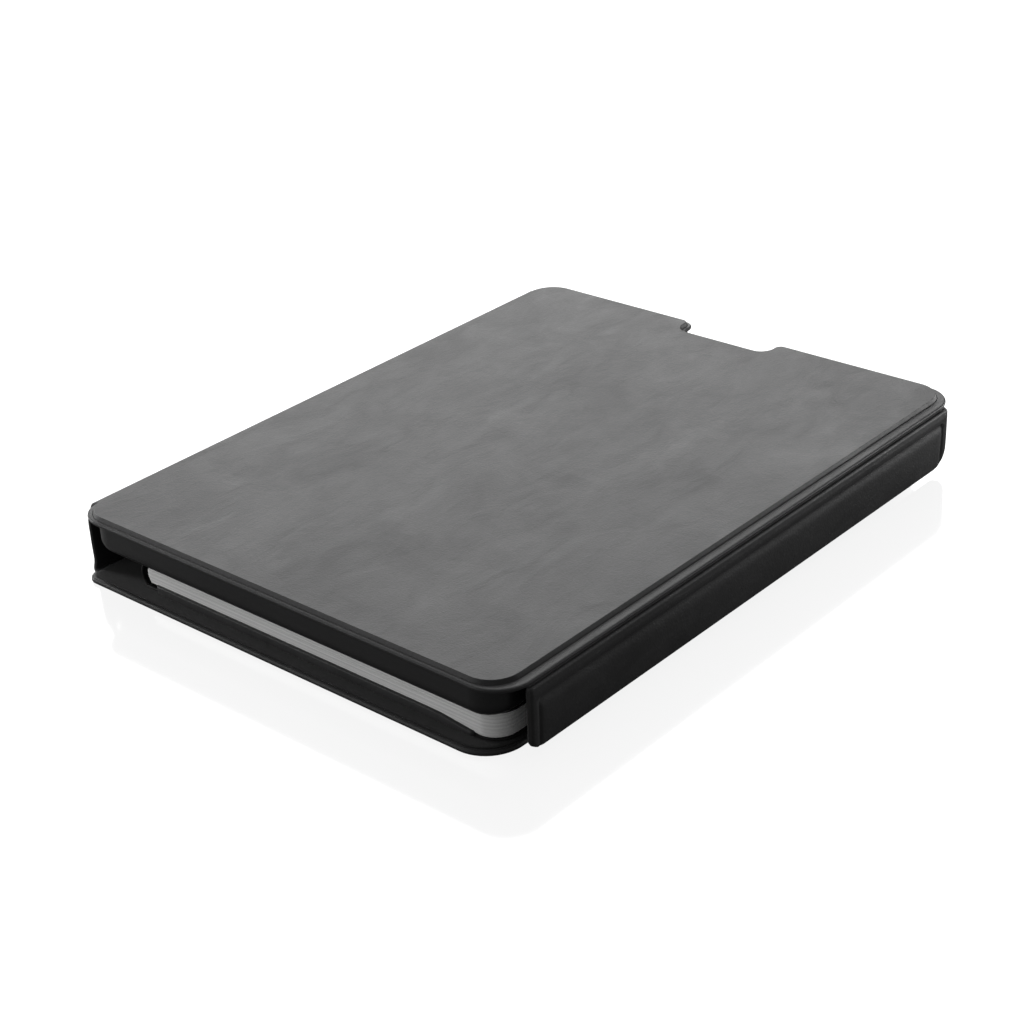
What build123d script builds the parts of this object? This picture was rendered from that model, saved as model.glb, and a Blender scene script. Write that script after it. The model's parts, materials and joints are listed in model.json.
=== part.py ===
from build123d import *
import os

# Closed notebook folio with a wireless charger built into its front cover.
# Frame: +X towards the closing flap, -X towards the folio's spine, +Y towards
# the short end with the notch, +Z up. The origin is on the table, under the
# middle of the closed folio. Millimetres.

# ---- overall folio
HALF_WIDTH = 85.5             # middle to the outer face of spine and flap
HALF_LENGTH = 107.5           # middle to the outer edge of the front cover
TOTAL_HEIGHT = 24.3           # table to the top of the raised charging panel

# ---- back cover that lies on the table
BASE_LEFT = -83.6
BASE_RIGHT = 79.3
BASE_HALF_LENGTH = 106.6
BASE_HEIGHT = 1.8
BASE_SKIN = 0.5
BASE_LINING = 0.4
BASE_RIGHT_RADIUS = 11.8
BASE_LEFT_RADIUS = 4.0

# ---- line that the flap turns about, parallel to Y
FLAP_HINGE_X = 84.5
FLAP_HINGE_Z = 22.3

# ---- spine wall
SPINE_OUTER_X = -HALF_WIDTH
SPINE_BOTTOM = 2.6
SPINE_TOP = 20.9
SPINE_HALF_LENGTH = 102.0
SPINE_SKIN = 0.6
SPINE_BOARD = 0.6
SPINE_LINING = 0.3
SPINE_CORNER = 1.5

# ---- front cover
COVER_LEFT = -83.2
COVER_RIGHT = 83.3
FLANGE_BOTTOM = 21.7
FLANGE_TOP = 23.2
PANEL_LEFT = -82.3
PANEL_RIGHT = 82.2
PANEL_HALF_LENGTH = 106.3
PANEL_SHOULDER = 0.8
COVER_RIGHT_RADIUS = 10.5
COVER_LEFT_RADIUS = 11.0
PANEL_LEFT_RADIUS = 9.5
PANEL_RIGHT_RADIUS = 8.5
STIFFENER_RADIUS = 5.0
NOTCH_WIDTH = 33.5
NOTCH_DEPTH = 8.0
NOTCH_MOUTH_RADIUS = 4.0
NOTCH_INNER_RADIUS = 3.0
CAVITY_MARGIN = 7.0           # cover edge to the stiffener inside it
COVER_BOARD_TOP = 22.7
FOAM_TOP = 23.3

# ---- charger housing under the front cover
TRAY_HALF_WIDTH = 79.8
TRAY_HALF_LENGTH = 105.6
TRAY_BOTTOM = 11.2
TRAY_RADIUS = 8.5
TRAY_EDGE_RADIUS = 4.5
TRAY_WALL = 1.6
TRAY_FLOOR = 1.8
TRAY_RECESS_WIDTH = 38.0
TRAY_RECESS_Y = 98.6
FLOOR_Z = TRAY_BOTTOM + TRAY_FLOOR
DECK_BOTTOM = 19.9
DECK_TOP = 21.5
DECK_GAP = 0.15
BOSS_RADIUS = 3.0
BOSS_HOLE = 1.15
BOSS_X = 71.0
BOSS_ROWS = (-92.0, 0.0, 88.0)

# ---- transmitter
COIL_CENTRE = (0.0, -8.0)
COIL_OUTER = 25.0
COIL_INNER = 10.5
COIL_TURNS = 9
COIL_GAP = 0.12
COIL_HEIGHT = 1.1
FERRITE_SIDE = 54.0
FERRITE_BOTTOM = 18.6
FERRITE_TOP = 19.8
LEAD_RADIUS = 0.6

# ---- battery
CELL_SIZE = (112.0, 70.0, 5.0)
CELL_CENTRE = (0.0, -55.0)
TAPE_HEIGHT = 0.3

# ---- main circuit board
BOARD_SIZE = (76.0, 36.0, 1.2)
BOARD_FAR_Y = 94.5
BOARD_BOTTOM = 14.2
BOARD_TOP = BOARD_BOTTOM + BOARD_SIZE[2]
STAND_X = 33.0
STAND_ROWS = (BOARD_FAR_Y - 31.5, BOARD_FAR_Y - 5.0)

# ---- socket, switch and lights in the notch
PORT_X = -7.0
PORT_WIDTH = 8.94
PORT_HEIGHT = 3.16
PORT_DEPTH = 7.4
PORT_WALL = 0.3
BUTTON_X = 8.0
BUTTON_WIDTH = 7.0
BUTTON_HEIGHT = 2.8
BUTTON_PROUD = 1.0
BUTTON_GAP = 0.15
BUTTON_TRAVEL = 0.5
LIGHT_PITCH = 2.0
LIGHT_X = 0.6
LIGHT_RADIUS = 0.6
LIGHT_COUNT = 3

# ---- flap
FLAP_NEAR_END = -98.0
FLAP_FAR_END = 101.0
FLAP_THICKNESS = 2.0
FLAP_TOP = 21.4
FLAP_BOTTOM = 1.5
FLAP_LEAN = 1.5               # degrees, the lower edge towards the book
FLAP_LINING = 0.5
FLAP_SKIN = 0.6
FLAP_LOW_RADIUS = 4.5
FLAP_TOP_RADIUS = 1.5
MAGNET_ROWS = (-60.0, 0.0, 60.0)
MAGNET_LENGTH = 20.0
MAGNET_WIDTH = 5.0

# ---- notebook
BOOK_HALF_LENGTH = 100.6
BACK_BOTTOM = 1.9
BOOK_COVER = 0.8
BACK_TOP = BACK_BOTTOM + BOOK_COVER
BOOK_RIGHT = 77.3
PAGES_LEFT = -61.0
PAGES_RIGHT = 76.5
PAGES_BOTTOM = 4.65
PAGES_TOP = 10.1
PAGES_RADIUS = 7.0
BOOK_SPINE_OUTER = -64.0
FRONT_BOTTOM = 10.15
FRONT_TOP = FRONT_BOTTOM + BOOK_COVER
FRONT_LEFT = -63.0
SLEEVE_HALF_LENGTH = 101.5
SLEEVE_LEFT = -57.0
SLEEVE_STEP = 54.0            # the band keeps its full height up to here
SLEEVE_RIGHT = 68.0
SLEEVE_BOTTOM = 2.8
SLEEVE_TOP = 4.6
SLEEVE_HEM = 0.8

os.makedirs("parts", exist_ok=True)


def save(shape, name):
    export_step(shape, f"parts/{name}.step")


def block(x0, x1, y0, y1, z0, z1):
    """An upright box between two corners."""
    size = (x1 - x0, y1 - y0, z1 - z0)
    centre = Pos((x0 + x1) / 2, (y0 + y1) / 2, (z0 + z1) / 2)
    return centre * Box(*size)


def rod(x, y, z0, z1, radius):
    """An upright cylinder."""
    return Pos(x, y, (z0 + z1) / 2) * Cylinder(radius, z1 - z0)


def outline(x0, x1, half_length, left_radius, right_radius):
    """A flat rectangle with one corner radius on each long side."""
    centre = Pos((x0 + x1) / 2, 0)
    face = centre * Rectangle(x1 - x0, 2 * half_length)
    face = fillet(face.vertices().group_by(Axis.X)[0], left_radius)
    return fillet(face.vertices().group_by(Axis.X)[-1], right_radius)


def plate(face, z0, z1):
    """A flat outline made into a plate from z0 up to z1."""
    return extrude(Pos(0, 0, z0) * face, amount=z1 - z0)


def notched(face, half_length, grow):
    """Cuts the notch, widened by grow on each side, into a flat outline."""
    width = NOTCH_WIDTH + 2 * grow
    low = HALF_LENGTH - NOTCH_DEPTH - grow
    cut = Pos(0, (low + half_length + 5) / 2) * Rectangle(width, half_length + 5 - low)
    face = face - cut
    mouth = [v for v in face.vertices() if abs(abs(v.X) - width / 2) < 0.01 and v.Y > low + 1]
    face = fillet(mouth, max(NOTCH_MOUTH_RADIUS - grow, 1.0))
    inner = [v for v in face.vertices() if abs(abs(v.X) - width / 2) < 0.01 and v.Y < low + 0.01]
    return fillet(inner, min(NOTCH_INNER_RADIUS + grow, 5.0))


def tube_through(points, radius, bend):
    """A round lead along straight runs joined by tangent arcs."""
    path = FilletPolyline(*points, radius=bend)
    section = Plane(origin=path @ 0, z_dir=path % 0) * Circle(radius)
    return sweep(section, path=path)


# ================================================== back cover
base_face = outline(BASE_LEFT, BASE_RIGHT, BASE_HALF_LENGTH, BASE_LEFT_RADIUS, BASE_RIGHT_RADIUS)
base_inner = outline(
    BASE_LEFT + BASE_SKIN,
    BASE_RIGHT - BASE_SKIN,
    BASE_HALF_LENGTH - BASE_SKIN,
    BASE_LEFT_RADIUS - BASE_SKIN,
    BASE_RIGHT_RADIUS - BASE_SKIN,
)
BASE_BOARD_TOP = BASE_HEIGHT - BASE_LINING


def base_outer_skin():
    """Leatherette under the board, turned up round its edge."""
    sheet = plate(base_face, 0, BASE_BOARD_TOP)
    sheet = fillet(sheet.faces().sort_by(Axis.Z)[0].edges(), 0.5)
    return sheet - plate(base_inner, BASE_SKIN, BASE_BOARD_TOP + 1)


def base_magnet_seats(grow):
    """The bars near the flap side that hold the flap's lower edge."""
    bars = []
    for y in MAGNET_ROWS:
        half = MAGNET_LENGTH / 2 + grow
        right = BASE_RIGHT - 1.5 + grow
        left = right - MAGNET_WIDTH - 2 * grow
        bars.append(block(left, right, y - half, y + half, BASE_SKIN + 0.1, BASE_BOARD_TOP))
    return bars


def base_board():
    board = plate(base_inner, BASE_SKIN, BASE_BOARD_TOP)
    for seat in base_magnet_seats(0.05):
        board -= seat
    return board


def base_lining():
    sheet = plate(base_face, BASE_BOARD_TOP, BASE_HEIGHT)
    return fillet(sheet.faces().sort_by(Axis.Z)[-1].edges(), 0.3)


save(base_outer_skin(), "base_outer_skin")
save(base_board(), "base_board")
save(base_lining(), "base_lining")
save(Compound(children=base_magnet_seats(0.0)), "base_magnets")


# ================================================== notebook and its band
def pocket_sleeve():
    """The wide band that holds the notebook's back board, sewn down at both ends."""
    profile = Plane.XZ * make_face(
        Polyline(
            (SLEEVE_LEFT, SLEEVE_BOTTOM),
            (SLEEVE_RIGHT, SLEEVE_BOTTOM),
            (SLEEVE_RIGHT, SLEEVE_BOTTOM + 0.3),
            (SLEEVE_STEP, SLEEVE_TOP),
            (SLEEVE_LEFT, SLEEVE_TOP),
            close=True,
        )
    )
    band = extrude(profile, amount=SLEEVE_HALF_LENGTH, both=True)
    for side in (-1, 1):
        outer = side * SLEEVE_HALF_LENGTH
        inner = side * (SLEEVE_HALF_LENGTH - SLEEVE_HEM)
        low, high = sorted((outer, inner))
        band += block(SLEEVE_LEFT, SLEEVE_RIGHT, low, high, BASE_HEIGHT, SLEEVE_BOTTOM)
    return band


def notebook_back_cover():
    face = outline(BOOK_SPINE_OUTER + 0.6, BOOK_RIGHT, BOOK_HALF_LENGTH, 0.5, PAGES_RADIUS)
    return plate(face, BACK_BOTTOM, BACK_TOP)


def notebook_spine():
    """The rounded cloth back of the book, from its back board to its front one."""
    height = FRONT_BOTTOM - 0.1 - BACK_TOP
    middle = BACK_TOP + 0.05 + height / 2
    bottom = (PAGES_LEFT - 0.2, BACK_TOP + 0.05)
    top = (PAGES_LEFT - 0.2, BACK_TOP + 0.05 + height)
    bow = ThreePointArc(bottom, (BOOK_SPINE_OUTER, middle), top)
    profile = Plane.XZ * make_face([bow, Line(top, bottom)])
    return extrude(profile, amount=BOOK_HALF_LENGTH, both=True)


def page_block():
    """The leaves lie on the band and drop on to the back board beyond it."""
    face = outline(PAGES_LEFT, PAGES_RIGHT, BOOK_HALF_LENGTH, 0.5, PAGES_RADIUS)
    leaves = plate(face, SLEEVE_BOTTOM + 0.05, PAGES_TOP)
    room = Plane.XZ * make_face(
        Polyline(
            (PAGES_LEFT - 1, 0),
            (SLEEVE_RIGHT + 0.5, 0),
            (SLEEVE_RIGHT + 0.2, SLEEVE_BOTTOM + 0.35),
            (SLEEVE_STEP, PAGES_BOTTOM),
            (PAGES_LEFT - 1, PAGES_BOTTOM),
            close=True,
        )
    )
    return leaves - extrude(room, amount=HALF_LENGTH, both=True)


def notebook_front_cover():
    face = outline(FRONT_LEFT, BOOK_RIGHT, BOOK_HALF_LENGTH, 0.5, PAGES_RADIUS)
    return plate(face, FRONT_BOTTOM, FRONT_TOP)


save(pocket_sleeve(), "pocket_sleeve")
save(notebook_back_cover(), "notebook_back_cover")
save(notebook_spine(), "notebook_spine")
save(page_block(), "page_block")
save(notebook_front_cover(), "notebook_front_cover")


# ================================================== spine wall
def spine_layer(inset, thickness, margin):
    """One upright layer of the spine wall, inset from its outer face."""
    low = SPINE_OUTER_X + inset
    wall = block(
        low,
        low + thickness,
        -SPINE_HALF_LENGTH + margin,
        SPINE_HALF_LENGTH - margin,
        SPINE_BOTTOM + margin,
        SPINE_TOP - margin,
    )
    return fillet(wall.edges().filter_by(Axis.X), SPINE_CORNER)


save(spine_layer(0.0, SPINE_SKIN, 0.0), "spine_outer_skin")
save(spine_layer(SPINE_SKIN, SPINE_BOARD, 0.4), "spine_board")
save(spine_layer(SPINE_SKIN + SPINE_BOARD, SPINE_LINING, 0.2), "spine_lining")


# ================================================== front cover
flange_face = notched(
    outline(COVER_LEFT, COVER_RIGHT, HALF_LENGTH, COVER_LEFT_RADIUS, COVER_RIGHT_RADIUS),
    HALF_LENGTH,
    0.0,
)
panel_face = notched(
    outline(PANEL_LEFT, PANEL_RIGHT, PANEL_HALF_LENGTH, PANEL_LEFT_RADIUS, PANEL_RIGHT_RADIUS),
    PANEL_HALF_LENGTH,
    2.0,
)
stiffener_face = notched(
    outline(
        COVER_LEFT + CAVITY_MARGIN,
        PANEL_RIGHT - CAVITY_MARGIN,
        HALF_LENGTH - CAVITY_MARGIN,
        STIFFENER_RADIUS,
        STIFFENER_RADIUS,
    ),
    HALF_LENGTH - CAVITY_MARGIN,
    CAVITY_MARGIN,
)


def cover_outer_skin():
    """Leatherette with a raised panel, a thin flange all round and the notch."""
    flange = plate(flange_face, FLANGE_BOTTOM, FLANGE_TOP)
    flange = fillet(flange.faces().sort_by(Axis.Z)[-1].edges(), 0.6)
    panel = plate(panel_face, FLANGE_TOP - 0.7, TOTAL_HEIGHT)
    panel = fillet(panel.faces().sort_by(Axis.Z)[-1].edges(), PANEL_SHOULDER)
    return flange + panel - plate(stiffener_face, FLANGE_BOTTOM - 1, FOAM_TOP)


save(cover_outer_skin(), "cover_outer_skin")
save(plate(stiffener_face, FLANGE_BOTTOM, COVER_BOARD_TOP), "cover_board")
save(plate(stiffener_face, COVER_BOARD_TOP, FOAM_TOP), "foam_pad")


# ================================================== charger housing
def recess(grow, z0, z1):
    """The space that the notch takes out of the housing, grown on its three walls."""
    half = TRAY_RECESS_WIDTH / 2 + grow
    return block(-half, half, TRAY_RECESS_Y - grow, HALF_LENGTH + 5, z0, z1)


def housing_inside(gap, z0, z1):
    """The room inside the housing's walls, made smaller by gap."""
    inset = TRAY_WALL + gap
    face = outline(
        -TRAY_HALF_WIDTH + inset,
        TRAY_HALF_WIDTH - inset,
        TRAY_HALF_LENGTH - inset,
        TRAY_RADIUS - inset,
        TRAY_RADIUS - inset,
    )
    return plate(face, z0, z1) - recess(TRAY_WALL + gap, z0 - 1, z1 + 1)


def boss_places():
    return [(side * BOSS_X, y) for y in BOSS_ROWS for side in (-1, 1)]


def stand_places():
    return [(side * STAND_X, y) for y in STAND_ROWS for side in (-1, 1)]


PORT_Z = BOARD_TOP + PORT_HEIGHT / 2
WALL_OUTER_Y = TRAY_RECESS_Y
WALL_INNER_Y = TRAY_RECESS_Y - TRAY_WALL


def slot(x, width, height, y0, y1):
    """A bar along Y with fully rounded sides, centred at the socket's height."""
    profile = Plane(origin=(x, y1, PORT_Z), x_dir=(1, 0, 0), z_dir=(0, -1, 0))
    return extrude(profile * SlotOverall(width, height), amount=y1 - y0)


def light_places():
    first = LIGHT_X - LIGHT_PITCH * (LIGHT_COUNT - 1) / 2
    return [first + LIGHT_PITCH * index for index in range(LIGHT_COUNT)]


def light_bar(x, radius, y0, y1):
    return Pos(x, (y0 + y1) / 2, PORT_Z) * Rot(90, 0, 0) * Cylinder(radius, y1 - y0)


def charger_tray():
    face = outline(-TRAY_HALF_WIDTH, TRAY_HALF_WIDTH, TRAY_HALF_LENGTH, TRAY_RADIUS, TRAY_RADIUS)
    shell = plate(face, TRAY_BOTTOM, FLANGE_BOTTOM)
    shell = fillet(shell.faces().sort_by(Axis.Z)[0].edges(), TRAY_EDGE_RADIUS)
    shell -= recess(0.0, TRAY_BOTTOM - 1, FLANGE_BOTTOM + 1)
    room = housing_inside(0.0, FLOOR_Z, FLANGE_BOTTOM + 1)
    room = chamfer(room.faces().sort_by(Axis.Z)[0].edges(), 1.6)
    shell -= room
    for x, y in boss_places():
        shell += rod(x, y, FLOOR_Z - 0.2, DECK_BOTTOM, BOSS_RADIUS)
        shell -= rod(x, y, FLOOR_Z + 0.6, DECK_BOTTOM + 1, BOSS_HOLE)
    for x, y in stand_places():
        shell += rod(x, y, FLOOR_Z - 0.2, BOARD_BOTTOM, 2.2)
        shell -= rod(x, y, FLOOR_Z, BOARD_BOTTOM + 1, 0.95)
    shell -= slot(PORT_X, PORT_WIDTH + 0.2, PORT_HEIGHT + 0.2, WALL_INNER_Y - 1, WALL_OUTER_Y + 1)
    window = BUTTON_WIDTH + 2 * BUTTON_GAP, BUTTON_HEIGHT + 2 * BUTTON_GAP
    shell -= slot(BUTTON_X, *window, WALL_INNER_Y - 1, WALL_OUTER_Y + 1)
    for x in light_places():
        shell -= light_bar(x, LIGHT_RADIUS + 0.02, WALL_INNER_Y - 1, WALL_OUTER_Y + 1)
    return shell


def charger_deck():
    """The plate that closes the housing, with a round seat for the transmitter coil."""
    deck = housing_inside(DECK_GAP, DECK_BOTTOM, DECK_TOP)
    deck -= rod(*COIL_CENTRE, DECK_BOTTOM - 1, DECK_TOP + 1, COIL_OUTER + 0.5)
    for x, y in boss_places():
        deck -= rod(x, y, DECK_BOTTOM - 1, DECK_TOP + 1, 1.5)
        deck -= rod(x, y, DECK_TOP - 0.9, DECK_TOP + 1, 2.5)
    return deck


def screw(x, y, head_top, head_radius, head_height, shank_radius, length):
    """A pan-head screw with a cross recess, pointing down."""
    body = rod(x, y, head_top - head_height, head_top, head_radius)
    body += rod(x, y, head_top - head_height - length, head_top - head_height + 0.1, shank_radius)
    for turn in (0, 90):
        body -= Pos(x, y, head_top) * Rot(0, 0, turn) * Box(head_radius * 1.2, 0.35, 0.8)
    return body


def deck_screws():
    return [screw(x, y, DECK_TOP, 2.2, 0.85, 1.05, 6.0) for x, y in boss_places()]


def board_screws():
    return [screw(x, y, BOARD_TOP + 0.9, 1.7, 0.9, 0.85, 2.2) for x, y in stand_places()]


save(charger_tray(), "charger_tray")
save(charger_deck(), "charger_deck")
save(Compound(children=deck_screws()), "deck_screws")
save(Compound(children=board_screws()), "board_screws")


# ================================================== transmitter
def transmitter_coil():
    """Flat winding, drawn as separate round turns side by side."""
    pitch = (COIL_OUTER - COIL_INNER) / COIL_TURNS
    turns = []
    for index in range(COIL_TURNS):
        inner = COIL_INNER + index * pitch
        outer = inner + pitch - COIL_GAP
        ring = rod(*COIL_CENTRE, DECK_BOTTOM + 0.3, DECK_BOTTOM + 0.3 + COIL_HEIGHT, outer)
        turns.append(ring - rod(*COIL_CENTRE, DECK_BOTTOM, DECK_TOP, inner))
    return Compound(children=turns)


def ferrite_sheet():
    half = FERRITE_SIDE / 2
    x, y = COIL_CENTRE
    sheet = block(x - half, x + half, y - half, y + half, FERRITE_BOTTOM, FERRITE_TOP)
    return fillet(sheet.edges().filter_by(Axis.Z), 3.0)


def coil_leads():
    """Two leads from the edge of the ferrite down to the circuit board."""
    x, y = COIL_CENTRE
    start = y + FERRITE_SIDE / 2 + 0.3
    leads = []
    for side in (-1, 1):
        lead_x = x + side * 3.0
        points = [
            (lead_x, start, FERRITE_BOTTOM + LEAD_RADIUS),
            (lead_x, start + 16.0, FERRITE_BOTTOM + LEAD_RADIUS),
            (lead_x, start + 26.0, BOARD_TOP + LEAD_RADIUS + 0.05),
            (lead_x, BOARD_FAR_Y - BOARD_SIZE[1] + 3.0, BOARD_TOP + LEAD_RADIUS + 0.05),
        ]
        leads.append(tube_through(points, LEAD_RADIUS, 6.0))
    return Compound(children=leads)


save(transmitter_coil(), "transmitter_coil")
save(ferrite_sheet(), "ferrite_sheet")
save(coil_leads(), "coil_leads")


# ================================================== battery
def centred_block(centre, size, z0, height):
    x, y = centre
    return block(x - size[0] / 2, x + size[0] / 2, y - size[1] / 2, y + size[1] / 2, z0, z0 + height)


def battery_cell():
    cell = centred_block(CELL_CENTRE, CELL_SIZE, FLOOR_Z + TAPE_HEIGHT, CELL_SIZE[2])
    return fillet(cell.edges(), 1.2)


def battery_tape():
    strips = []
    for side in (-1, 1):
        centre = (CELL_CENTRE[0] + side * 30.0, CELL_CENTRE[1])
        strips.append(centred_block(centre, (20.0, 58.0), FLOOR_Z, TAPE_HEIGHT))
    return Compound(children=strips)


def battery_leads():
    """Two leads from the cell's sealed end along the housing to the board's plug."""
    start = CELL_CENTRE[1] + CELL_SIZE[1] / 2 + 0.2
    leads = []
    for index in range(2):
        lead_x = -26.0 + 2.2 * index
        points = [
            (lead_x, start, FLOOR_Z + 2.6),
            (lead_x, start + 34.0, FLOOR_Z + 2.6),
            (lead_x, start + 64.0, BOARD_TOP + 1.5),
            (lead_x, BOARD_FAR_Y - BOARD_SIZE[1] + 3.0, BOARD_TOP + 1.5),
        ]
        leads.append(tube_through(points, LEAD_RADIUS, 12.0))
    return Compound(children=leads)


def battery_plug():
    y = BOARD_FAR_Y - BOARD_SIZE[1] + 5.6
    plug = centred_block((-24.9, y), (7.0, 5.0), BOARD_TOP, 3.2)
    return chamfer(plug.edges().filter_by(Axis.Z), 0.4)


save(battery_cell(), "battery_cell")
save(battery_tape(), "battery_tape")
save(battery_leads(), "battery_leads")
save(battery_plug(), "battery_plug")


# ================================================== circuit board
BOARD_MIDDLE_Y = BOARD_FAR_Y - BOARD_SIZE[1] / 2


def circuit_board():
    board = centred_block((0, BOARD_MIDDLE_Y), BOARD_SIZE, BOARD_BOTTOM, BOARD_SIZE[2])
    board = fillet(board.edges().filter_by(Axis.Z), 1.5)
    for x, y in stand_places():
        board -= rod(x, y, BOARD_BOTTOM - 1, BOARD_TOP + 1, 1.0)
    return board


def chips(places, size):
    """Flat packages standing on the board, one for each (x, y) from its middle."""
    parts = []
    for x, y in places:
        parts.append(centred_block((x, BOARD_MIDDLE_Y + y), size, BOARD_TOP, size[2]))
    return Compound(children=parts)


def power_inductors():
    """Square wound inductors with a round core seen on top."""
    parts = []
    for x in (16.0, 25.5):
        can = centred_block((x, BOARD_MIDDLE_Y - 2), (7.0, 7.0), BOARD_TOP, 2.6)
        can = chamfer(can.edges().filter_by(Axis.Z), 1.2)
        parts.append(can - rod(x, BOARD_MIDDLE_Y - 2, BOARD_TOP + 2.4, BOARD_TOP + 3, 2.6))
    return Compound(children=parts)


def tuning_capacitors():
    places = [(-2.0 + 4.2 * index, -13.0) for index in range(6)]
    return chips(places, (3.2, 2.5, 2.0))


def usb_c_shell():
    """The socket's rounded metal shell, open towards the notch."""
    shell = slot(PORT_X, PORT_WIDTH, PORT_HEIGHT, WALL_OUTER_Y - PORT_DEPTH, WALL_OUTER_Y)
    bore = PORT_WIDTH - 2 * PORT_WALL, PORT_HEIGHT - 2 * PORT_WALL
    return shell - slot(PORT_X, *bore, WALL_OUTER_Y - PORT_DEPTH + 1.0, WALL_OUTER_Y + 1)


def usb_c_tongue():
    y0 = WALL_OUTER_Y - PORT_DEPTH + 1.0
    y1 = WALL_OUTER_Y - 0.6
    return block(PORT_X - 3.35, PORT_X + 3.35, y0, y1, PORT_Z - 0.35, PORT_Z + 0.35)


def light_guides():
    guides = []
    for x in light_places():
        guides.append(light_bar(x, LIGHT_RADIUS, WALL_OUTER_Y - 4.1, WALL_OUTER_Y))
    return Compound(children=guides)


def status_lights():
    lamps = []
    for x in light_places():
        y = WALL_OUTER_Y - 4.9
        lamps.append(block(x - 0.8, x + 0.8, y - 0.7, y + 0.7, BOARD_TOP, PORT_Z + 0.8))
    return Compound(children=lamps)


def tact_switch():
    """The switch that the button presses, standing on the board's edge."""
    front = WALL_INNER_Y - 1.2 - BUTTON_TRAVEL - 0.1
    case = block(BUTTON_X - 3, BUTTON_X + 3, front - 3.2, front - 0.8, BOARD_TOP, BOARD_TOP + 3.2)
    stem_half = 0.7
    stem_z = PORT_Z
    stem = block(
        BUTTON_X - 1.2,
        BUTTON_X + 1.2,
        front - 0.9,
        front,
        stem_z - stem_half,
        stem_z + stem_half,
    )
    return case + stem


def power_button():
    """The key cap in the notch, with a collar behind the wall that keeps it in."""
    key = slot(BUTTON_X, BUTTON_WIDTH, BUTTON_HEIGHT, WALL_INNER_Y - 0.1, WALL_OUTER_Y + BUTTON_PROUD)
    key = fillet(key.faces().sort_by(Axis.Y)[-1].edges(), 0.3)
    wide = BUTTON_WIDTH + 1.4, BUTTON_HEIGHT + 1.0
    return key + slot(BUTTON_X, *wide, WALL_INNER_Y - 1.2, WALL_INNER_Y - 0.05)


save(circuit_board(), "circuit_board")
save(chips([(-16.0, -4.0), (4.0, 0.0)], (7.0, 7.0, 0.9)), "controller_chips")
save(chips([(-5.0, 4.0), (-26.0, 2.0), (27.0, 7.5)], (4.0, 4.0, 1.0)), "switching_chips")
save(power_inductors(), "power_inductors")
save(tuning_capacitors(), "tuning_capacitors")
save(usb_c_shell(), "usb_c_shell")
save(usb_c_tongue(), "usb_c_tongue")
save(light_guides(), "light_guides")
save(status_lights(), "status_lights")
save(tact_switch(), "tact_switch")
save(power_button(), "power_button")


# ================================================== flap
def leaned(shape):
    """Turns a piece of the upright flap about the fold, its lower edge inwards."""
    fold = Pos(FLAP_HINGE_X, 0, FLAP_HINGE_Z)
    return fold * Rot(0, FLAP_LEAN, 0) * fold.inverse() * shape


def flap_layer(inset, thickness, margin):
    """One layer of the flap, inset from its outer face."""
    high = FLAP_HINGE_X + FLAP_THICKNESS / 2 - inset
    wall = block(
        high - thickness,
        high,
        FLAP_NEAR_END + margin,
        FLAP_FAR_END - margin,
        FLAP_BOTTOM + margin,
        FLAP_TOP - margin,
    )
    upright = wall.edges().filter_by(Axis.X)
    wall = fillet(upright.group_by(Axis.Z)[0], FLAP_LOW_RADIUS - margin)
    return fillet(wall.edges().filter_by(Axis.X).group_by(Axis.Z)[-1], FLAP_TOP_RADIUS)


def flap_magnet_seats(grow):
    """Bar magnets in the board along the flap's lower edge."""
    inner = FLAP_HINGE_X - FLAP_THICKNESS / 2 + FLAP_LINING
    outer = FLAP_HINGE_X + FLAP_THICKNESS / 2 - FLAP_SKIN
    bars = []
    for y in MAGNET_ROWS:
        half = MAGNET_LENGTH / 2 + grow
        low = FLAP_BOTTOM + 1.4 - grow
        high = low + MAGNET_WIDTH + 2 * grow
        bars.append(block(inner, outer, y - half, y + half, low, high))
    return bars


def flap_board():
    thickness = FLAP_THICKNESS - FLAP_SKIN - FLAP_LINING
    board = flap_layer(FLAP_SKIN, thickness, 0.5)
    for seat in flap_magnet_seats(0.05):
        board -= seat
    return leaned(board)


save(leaned(flap_layer(0.0, FLAP_SKIN, 0.0)), "flap_outer_skin")
save(flap_board(), "flap_board")
save(leaned(flap_layer(FLAP_THICKNESS - FLAP_LINING, FLAP_LINING, 0.2)), "flap_lining")
save(Compound(children=[leaned(bar) for bar in flap_magnet_seats(0.0)]), "flap_magnets")
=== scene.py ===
import json
import math
import random

import bmesh
import bpy
from mathutils import Matrix, Vector


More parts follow.
